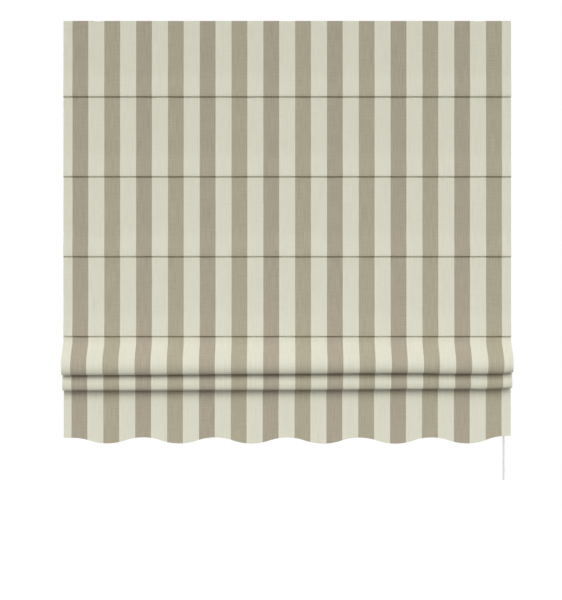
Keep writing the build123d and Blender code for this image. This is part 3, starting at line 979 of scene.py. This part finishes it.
# a tube of lining round a rod, flat where it would come in front of frontLimit
def pocketPiece(name, z, body, frontLimit):
    inner = rods["pocketInner"]
    outer = inner + cloth["thickness"]
    xs = spread(-cloth["width"] / 2, cloth["width"] / 2, pocket["columns"])
    verts = []
    for radius in (outer, inner):
        for x in xs:
            for k in range(pocket["sides"]):
                angle = tau * k / pocket["sides"]
                wobble = noise.noise(Vector((x * 25.0, cos(angle) * 0.4, z * 5.0 + sin(angle) * 0.4)))
                grown = radius - pocket["wobble"] - pocket["wobble"] * wobble
                y = max(rods["y"] + grown * cos(angle), frontLimit)
                verts.append((x, y, z + grown * sin(angle)))
    obj = newObject(name, verts, walledTube(len(xs), pocket["sides"]), liningCloth)
    layPlan(obj, lambda place: (place.x, atan2(place.z - z, place.y - rods["y"]) * outer))
    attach(obj, body)
    declareCloth()


for number, z in enumerate(cloth["seams"]):
    pressedTo = cloth["midY"] + tuck["depth"] - pocket["pressed"]
    pocketPiece(f"rodPocket{number + 1}", z, bodyOfSeam[number], pressedTo)
pocketPiece("rodPocket5", rods["gatheredZ"], "gathered_body", cloth["midY"])


# a rounded rectangle as (y, z) points
def roundedBox(width, height, radius, middle, steps=4):
    outline = []
    for cornerY, cornerZ, first in ((1, 1, 0), (-1, 1, 90), (-1, -1, 180), (1, -1, 270)):
        for k in range(steps + 1):
            angle = radians(first + 90 * k / steps)
            outline.append((middle[0] + cornerY * (width / 2 - radius) + radius * cos(angle),
                            middle[1] + cornerZ * (height / 2 - radius) + radius * sin(angle)))
    return outline


def barPocket():
    innerWidth, innerHeight = bar["thickness"] + 2 * bar["play"], bar["height"] + 2 * bar["play"]
    middle = (bar["y"], bar["mid"])
    outer = roundedBox(innerWidth + 2 * cloth["thickness"], innerHeight + 2 * cloth["thickness"],
                       pocket["barOuter"], middle)
    inner = roundedBox(innerWidth, innerHeight, pocket["barInner"], middle)
    xs = spread(-cloth["width"] / 2, cloth["width"] / 2, pocket["barColumns"])
    verts = [(x, y, z) for outline in (outer, inner) for x in xs for y, z in outline]
    obj = newObject("barPocket", verts, walledTube(len(xs), len(outer)), liningCloth)
    layPlan(obj, lambda place: (place.x, -place.z + place.y))
    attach(obj, "gathered_body")
    declareCloth()


barPocket()
print("pockets sewn")


# rods, bar and clips

def claim(obj, body, nodes):
    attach(obj, body)
    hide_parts(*nodes)


def addPiece(name, parts, material, body, nodes):
    obj = newObject(name, *joinParts(parts), material)
    claim(obj, body, nodes)
    return obj


def rodProfile():
    end, ease = rods["halfLength"], rods["endEase"]
    right = [(end - ease, rods["radius"]), (end, rods["endRadius"]), (end, 0.0)]
    return [(-along, radius) for along, radius in reversed(right)] + right


seamHeights = cloth["seams"] + [rods["gatheredZ"]]
rodBodies = bodyOfSeam + ["gathered_body"]
for number, (z, body) in enumerate(zip(seamHeights, rodBodies), start=1):
    part = turnedPart(rodProfile(), (0, rods["y"], z), segments=24)
    addPiece(f"rod{number}", [part], finishes["rod"], body, [f"rod_{number}"])

clip = {
    "inner": 0.0039,
    "outer": 0.0053,
    "width": 0.008,
    "openHalf": 50,            # degrees, half of the C's mouth
    "backward": 180,           # degrees, the way the mouth looks on a seam's rod
    "eyeSide": 0.0048,
    "bore": 0.0012,
    "steps": 22,
    "eyeSteps": 24,
    "ease": 0.0003,
}


# a C that snaps round the pocket, and an eye behind it
def clipParts(x, z, openAt):
    low, high = radians(openAt + clip["openHalf"]), radians(openAt + 360 - clip["openHalf"])
    outer = [(clip["outer"], low + (high - low) * k / clip["steps"]) for k in range(clip["steps"] + 1)]
    inner = [(clip["inner"], low + (high - low) * k / clip["steps"]) for k in range(clip["steps"], -1, -1)]
    outline = [(rods["y"] + r * cos(a), z + r * sin(a)) for r, a in outer + inner]
    start = x - clip["width"] / 2
    verts = [(along, y, height) for along in (start, start + clip["width"]) for y, height in outline]
    count = len(outline)
    faces = [[k, (k + 1) % count, count + (k + 1) % count, count + k] for k in range(count)]
    half = clip["steps"] + 1
    for k in range(clip["steps"]):
        quad = [k, count - 1 - k, count - 2 - k, k + 1]
        faces.append(quad)
        faces.append([count + v for v in reversed(quad)])
    sides = clip["eyeSteps"]
    eye = []
    for height in (-clip["width"] / 2, clip["width"] / 2):
        for radius in ("outer", "bore"):
            for k in range(sides):
                angle = tau * k / sides
                c, s = cos(angle), sin(angle)
                reach = clip["bore"]
                if radius == "outer":
                    # a square with round corners
                    reach = clip["eyeSide"] / 2 / (abs(c) ** 5 + abs(s) ** 5) ** 0.2
                eye.append((x + reach * c, cords["y"] + reach * s, z + height))
    eyeFaces = []
    for k in range(sides):
        n = (k + 1) % sides
        eyeFaces.append([k, n, 2 * sides + n, 2 * sides + k])
        eyeFaces.append([sides + k, 3 * sides + k, 3 * sides + n, sides + n])
        eyeFaces.append([k, sides + k, sides + n, n])
        eyeFaces.append([2 * sides + k, 2 * sides + n, 3 * sides + n, 3 * sides + k])
    return [(verts, faces), (eye, eyeFaces)]


# round the sharp edges and keep the result as the mesh
def easeEdges(obj, width):
    modifier = obj.modifiers.new("softEdges", "BEVEL")
    modifier.width = width
    modifier.segments = 2
    modifier.limit_method = "ANGLE"
    modifier.angle_limit = radians(35)
    modifier.use_clamp_overlap = True
    bpy.context.view_layer.objects.active = obj
    bpy.ops.object.modifier_apply(modifier=modifier.name)
    for polygon in obj.data.polygons:
        polygon.use_smooth = True
    obj.data.set_sharp_from_angle(angle=radians(40))


for number, (z, body) in enumerate(zip(seamHeights, rodBodies), start=1):
    parts = []
    for x in cords["places"]:
        parts += clipParts(x, z, rods["mouth"] if z == rods["gatheredZ"] else clip["backward"])
    piece = newObject(f"cordClips{number}", *joinParts(parts), finishes["clip"], False)
    easeEdges(piece, clip["ease"])
    claim(piece, body, [f"rod_clips_{number}"])

barOutline = roundedBox(bar["thickness"], bar["height"], bar["corner"], (bar["y"], bar["mid"]))
barPart = prism(barOutline, -rods["halfLength"], 2 * rods["halfLength"], bar["ease"])
barPiece = newObject("bottomBar", *barPart, finishes["shaft"])
barPiece.data.set_sharp_from_angle(angle=radians(40))
claim(barPiece, "gathered_body", ["bottom_bar"])
print("rods and clips in place")


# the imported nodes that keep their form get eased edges

def weldedCopy(node, name, material, width):
    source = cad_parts[node]
    obj = source.copy()
    obj.data = source.data.copy()
    obj.name = name
    obj.data.name = name
    bpy.context.scene.collection.objects.link(obj)
    obj.hide_render = False
    obj.hide_viewport = False
    for key in list(obj.keys()):
        del obj[key]
    world = source.matrix_world.copy()
    obj.parent = None
    obj.matrix_world = world
    obj.data.materials.clear()
    obj.data.materials.append(material)
    bpy.ops.object.select_all(action="DESELECT")
    obj.select_set(True)
    bpy.context.view_layer.objects.active = obj
    bpy.ops.object.mode_set(mode="EDIT")
    bpy.ops.mesh.select_all(action="SELECT")
    bpy.ops.mesh.remove_doubles(threshold=0.00001)
    bpy.ops.mesh.dissolve_limited(angle_limit=radians(2))
    bpy.ops.mesh.normals_make_consistent(inside=False)
    bpy.ops.object.mode_set(mode="OBJECT")
    if "custom_normal" in obj.data.attributes:
        obj.data.attributes.remove(obj.data.attributes["custom_normal"])
    easeEdges(obj, width)
    return obj


# node, name, finish, width of the eased edge, slot and body
copies = (
    ("headrail", "headrailProfile", "rail", 0.0004, "rail", "root"),
    ("end_cap", "endCapMoulding", "cap", 0.0006, "cap", "root"),
    ("drive_cover", "driveCover", "cap", 0.0006, "cap", "root"),
    ("drive_housing", "driveHousing", "cap", 0.0004, "cap", "root"),
    ("brackets", "ceilingBrackets", "bracket", 0.0004, "bracket_steel", "root"),
    ("cradles", "drumCradles", "works", 0.0005, "works", "root"),
    ("cord_locks", "cordLocks", "clip", 0.0008, "clip", "gathered_body"),
    ("shaft", "hexShaft", "shaft", 0.0002, "shaft_metal", "drive"),
)
for node, name, finish, width, slotName, body in copies:
    claim(weldedCopy(node, name, finishes[finish], width), body, [node])
print("rail and works dressed")


# cord drive

works = {
    "shaftZ": -0.0231,
    "drum": 0.01125,
    "drumLength": 0.034,
    "flange": 0.014,
    "flangeThickness": 0.0015,
    "journal": 0.007,
    "journalLength": 0.004,
    "bore": 0.0031,
    "ease": 0.0004,
    "turns": 7,                # of cord, wound on each drum
    "cordGap": 0.00005,
    "stepsPerTurn": 32,
}


def drumProfile():
    half = works["drumLength"] / 2
    flangeEnd = half + works["flangeThickness"]
    end = flangeEnd + works["journalLength"]
    ease = works["ease"]
    side = [
        (end, works["bore"]), (end, works["journal"] - ease), (end - ease, works["journal"]),
        (flangeEnd, works["journal"]), (flangeEnd, works["flange"] - ease),
        (flangeEnd - ease, works["flange"]), (half + ease, works["flange"]),
        (half, works["flange"] - ease), (half, works["drum"] + ease), (half - ease, works["drum"]),
    ]
    return side + [(-along, radius) for along, radius in reversed(side)]


parts = [turnedPart(drumProfile(), (x, 0, works["shaftZ"]), segments=48) for x in cords["places"]]
drums = addPiece("cordDrums", parts, finishes["works"], "drive", ["spools"])
drums.data.set_sharp_from_angle(angle=radians(40))


# the turns of cord on a drum, side by side, left of the cord that hangs
def windingPart(x):
    pitch = 2 * cords["radius"] + works["cordGap"]
    laid = works["drum"] + works["cordGap"] + cords["radius"]
    steps = works["turns"] * works["stepsPerTurn"]
    start = x - works["turns"] * pitch
    path = []
    for k in range(steps + 1):
        angle = pi + tau * k / works["stepsPerTurn"]
        along = start + pitch * works["turns"] * k / steps
        path.append((along, laid * cos(angle), works["shaftZ"] + laid * sin(angle)))
    return tubeAlong(path, cords["radius"], 8)


windings = [windingPart(x) for x in cords["places"]]
addPiece("woundCord", windings, braidedCord, "drive", ["cord_turns"])

cordLength = cords["top"] - cords["foot"]
for number, x in enumerate(cords["places"], start=1):
    heights = [cords["top"] - cordLength * k / cords["steps"] for k in range(cords["steps"] + 1)]
    part = tubeAlong([(x, cords["y"], z) for z in heights], cords["radius"], 10)
    piece = addPiece(f"liftCord{number}", [part], braidedCord, "root", [f"lift_cord_{number}"])
    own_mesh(piece)
print("cords wound")


# chain drive

chain = {
    "x": 0.68,
    "pitch": 0.006,
    "strand": 234,             # beads between wheel and foot
    "pockets": 12,
    "bead": 0.00225,
    "link": 0.0006,
    "connectorBeads": 43,      # beads between wheel and connector
    "connectorOuter": 0.0034,
    "connectorInner": 0.0025,
    "connectorLength": 0.014,
    "connectorEase": 0.0004,
}
chain["radius"] = chain["pitch"] / (2 * sin(pi / chain["pockets"]))
chain["foot"] = works["shaftZ"] - chain["strand"] * chain["pitch"]


def chainPlace(distance):
    strand = chain["strand"] * chain["pitch"]
    bend = chain["pockets"] / 2 * chain["pitch"]
    radius = chain["radius"]
    loop = 2 * strand + 2 * bend
    distance %= loop
    if distance <= strand:
        return -radius, works["shaftZ"] - distance
    distance -= strand
    if distance <= bend:
        angle = pi + pi * distance / bend
        return radius * cos(angle), chain["foot"] + radius * sin(angle)
    distance -= bend
    if distance <= strand:
        return radius, chain["foot"] + distance
    distance -= strand
    angle = pi * distance / bend
    return radius * cos(angle), works["shaftZ"] + radius * sin(angle)


def beadPart(centre, radius, segments=12, rings=8):
    verts = [(centre[0], centre[1], centre[2] - radius)]
    for i in range(1, rings):
        tilt = pi * i / rings - pi / 2
        for k in range(segments):
            angle = tau * k / segments
            away = (cos(tilt) * cos(angle), cos(tilt) * sin(angle), sin(tilt))
            verts.append(tuple(centre[n] + radius * away[n] for n in range(3)))
    verts.append((centre[0], centre[1], centre[2] + radius))
    faces = [[0, 1 + (k + 1) % segments, 1 + k] for k in range(segments)]
    faces += gridFaces(rings - 1, segments, 1, closeColumns=True)
    last = len(verts) - 1
    ring = 1 + (rings - 2) * segments
    faces += [[ring + k, ring + (k + 1) % segments, last] for k in range(segments)]
    return verts, faces


loopBeads = 2 * chain["strand"] + chain["pockets"]
beadPlaces = [chainPlace(k * chain["pitch"]) for k in range(loopBeads)]
parts = [beadPart((chain["x"], y, z), chain["bead"]) for y, z in beadPlaces]
line = [(chain["x"], *chainPlace(k * chain["pitch"] / 2)) for k in range(2 * loopBeads)]
parts.append(tubeAlong(line, chain["link"], 8, closed=True))
addPiece("beadChain", parts, finishes["bead"], "root", ["control_chain"])

joinZ = works["shaftZ"] - (chain["connectorBeads"] + 0.5) * chain["pitch"]
sleeve = ringProfile(joinZ - chain["connectorLength"] / 2, chain["connectorLength"], chain["connectorOuter"],
                     chain["connectorInner"], chain["connectorEase"])
addPiece("chainConnector", [turnedPart(sleeve, (chain["x"], chain["radius"], 0), "Z", 32)],
         finishes["clip"], "root", ["chain_connector"])

claim(weldedCopy("chain_wheel", "chainWheel", finishes["works"], 0.0002), "drive", ["chain_wheel"])

brake = {
    "start": 0.685,
    "length": 0.01,
    "outer": 0.0046,
    "inner": 0.0036,
    "ease": 0.0003,
    "springStart": 0.6865,
    "springLength": 0.005,
    "springRadius": 0.00525,
    "wire": 0.00048,
    "coils": 6,
    "stepsPerCoil": 32,
}
core = ringProfile(brake["start"], brake["length"], brake["outer"], brake["inner"], brake["ease"])
addPiece("brakeCore", [turnedPart(core, (0, 0, works["shaftZ"]), segments=40)], finishes["works"], "root",
         ["brake_core"])
coilPath = []
coilSteps = brake["coils"] * brake["stepsPerCoil"]
for k in range(coilSteps + 1):
    angle = tau * k / brake["stepsPerCoil"]
    along = brake["springStart"] + brake["springLength"] * k / coilSteps
    coilPath.append((along, brake["springRadius"] * cos(angle),
                     works["shaftZ"] + brake["springRadius"] * sin(angle)))
addPiece("brakeSpring", [tubeAlong(coilPath, brake["wire"], 10)], finishes["spring"], "drive",
         ["brake_spring"])
print("chain drive in place")

for node, material in (("loop_tape", loopCloth), ("hook_tape", hookCloth)):
    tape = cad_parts[node]
    tape.data.materials.clear()
    tape.data.materials.append(material)


# floor, light and camera

studio = {
    "floorZ": -2.1,
    "floorRadius": 6.0,
    "fadeFrom": 3.2,           # the floor fades out between these distances
    "fadeTo": 5.7,
    "floorGrey": 0.5,
    "floorGlow": 0.65,         # for the camera alone
    "world": 0.55,
    "below": 0.02,             # light from below, which grows to full between these slopes of the ray
    "dimFrom": -0.05,
    "dimTo": 0.5,
    "sun": 1.78,
    "sunFrom": (0.5, -4.2, 2.7),
    "sunSpread": 42,
    "low": 11.0,
    "lowPlace": (0.4, -4.2, -0.7),
    "lowTarget": (0.0, 0, -1.5),
    "lowSize": 1.6,
    "back": 80.0,
    "backPlace": (-1.5, 4.0, 1.0),
    "backTarget": (0, 0, -0.6),
    "backSize": 2.5,
}


def makeFloor():
    rings, segments = 24, 96
    verts, faces = [(0.0, 0.0, studio["floorZ"])], []
    for i in range(1, rings + 1):
        for k in range(segments):
            angle = tau * k / segments
            reach = studio["floorRadius"] * i / rings
            verts.append((reach * cos(angle), reach * sin(angle), studio["floorZ"]))
    faces += [[0, 1 + k, 1 + (k + 1) % segments] for k in range(segments)]
    faces += [face[::-1] for face in gridFaces(rings, segments, 1, closeColumns=True)]
    material, tree, shader = newMaterial("paleFloor")
    position = tree.nodes.new("ShaderNodeNewGeometry").outputs["Position"]
    length = tree.nodes.new("ShaderNodeVectorMath")
    length.operation = "LENGTH"
    tree.links.new(position, length.inputs[0])
    away = ramp(tree, length.outputs["Value"], studio["fadeFrom"], studio["fadeTo"], 1.0, 0.0)
    tree.links.new(away, shader.inputs["Alpha"])
    shader.inputs["Base Color"].default_value = (studio["floorGrey"],) * 3 + (1,)
    shader.inputs["Roughness"].default_value = 0.9
    shader.inputs["Emission Color"].default_value = (1, 1, 1, 1)
    seen = tree.nodes.new("ShaderNodeLightPath").outputs["Is Camera Ray"]
    tree.links.new(mathNode(tree, "MULTIPLY", seen, studio["floorGlow"]), shader.inputs["Emission Strength"])
    return newObject("paleFloor", verts, faces, material, smooth=False)


def makeWorld():
    world = bpy.data.worlds.new("studioWorld")
    bpy.context.scene.world = world
    world.use_nodes = True
    tree = world.node_tree
    plain = tree.nodes["Background"]
    plain.inputs["Strength"].default_value = studio["world"]
    direction = tree.nodes.new("ShaderNodeSeparateXYZ")
    tree.links.new(tree.nodes.new("ShaderNodeTexCoord").outputs["Generated"], direction.inputs[0])
    above = ramp(tree, direction.outputs["Z"], studio["dimFrom"], studio["dimTo"])
    dim = (studio["below"],) * 3 + (1,)
    tree.links.new(mixColour(tree, above, dim, (1, 1, 1, 1)), plain.inputs["Color"])
    seen = tree.nodes.new("ShaderNodeBackground")
    seen.inputs["Color"].default_value = (1, 1, 1, 1)
    seen.inputs["Strength"].default_value = 1.0
    rays = tree.nodes.new("ShaderNodeLightPath")
    mirrored = mathNode(tree, "MAXIMUM", rays.outputs["Is Glossy Ray"], rays.outputs["Is Transmission Ray"])
    either = mathNode(tree, "MAXIMUM", rays.outputs["Is Camera Ray"], mirrored)
    mix = tree.nodes.new("ShaderNodeMixShader")
    tree.links.new(either, mix.inputs[0])
    tree.links.new(plain.outputs[0], mix.inputs[1])
    tree.links.new(seen.outputs[0], mix.inputs[2])
    tree.links.new(mix.outputs[0], tree.nodes["World Output"].inputs["Surface"])


def makeLamp(name, place, target, size, power):
    light = bpy.data.lights.new(name, "AREA")
    light.size = size
    light.energy = power
    obj = bpy.data.objects.new(name, light)
    bpy.context.scene.collection.objects.link(obj)
    obj.location = place
    obj.rotation_euler = (Vector(target) - Vector(place)).to_track_quat("-Z", "Y").to_euler()
    return obj


def makeSun(name, lookFrom, spread, power):
    light = bpy.data.lights.new(name, "SUN")
    light.energy = power
    light.angle = radians(spread)
    obj = bpy.data.objects.new(name, light)
    bpy.context.scene.collection.objects.link(obj)
    obj.location = lookFrom
    obj.rotation_euler = (-Vector(lookFrom)).to_track_quat("-Z", "Y").to_euler()
    return obj


floor = makeFloor()
makeWorld()
makeSun("keySun", studio["sunFrom"], studio["sunSpread"], studio["sun"])
makeLamp("lowFill", studio["lowPlace"], studio["lowTarget"], studio["lowSize"], studio["low"])
makeLamp("backLamp", studio["backPlace"], studio["backTarget"], studio["backSize"], studio["back"])

view = {
    "x": -0.0196,
    "z": -0.876,
    "distance": 5.0,           # from the camera to the cloth
    "height": 1.877,           # what the picture takes in of the cloth's plane, top to bottom
    "sensor": 36.0,
    "far": 60.0,
}
camera = bpy.data.objects.new("camera", bpy.data.cameras.new("camera"))
bpy.context.scene.collection.objects.link(camera)
camera.location = (view["x"], cloth["midY"] - view["distance"], view["z"])
camera.rotation_euler = (radians(90), 0, 0)
camera.data.sensor_fit = "VERTICAL"
camera.data.sensor_height = view["sensor"]
camera.data.lens = view["sensor"] * view["distance"] / view["height"]
camera.data.clip_end = view["far"]
bpy.context.scene.camera = camera
bpy.context.scene.view_settings.view_transform = "Standard"
print("studio set")
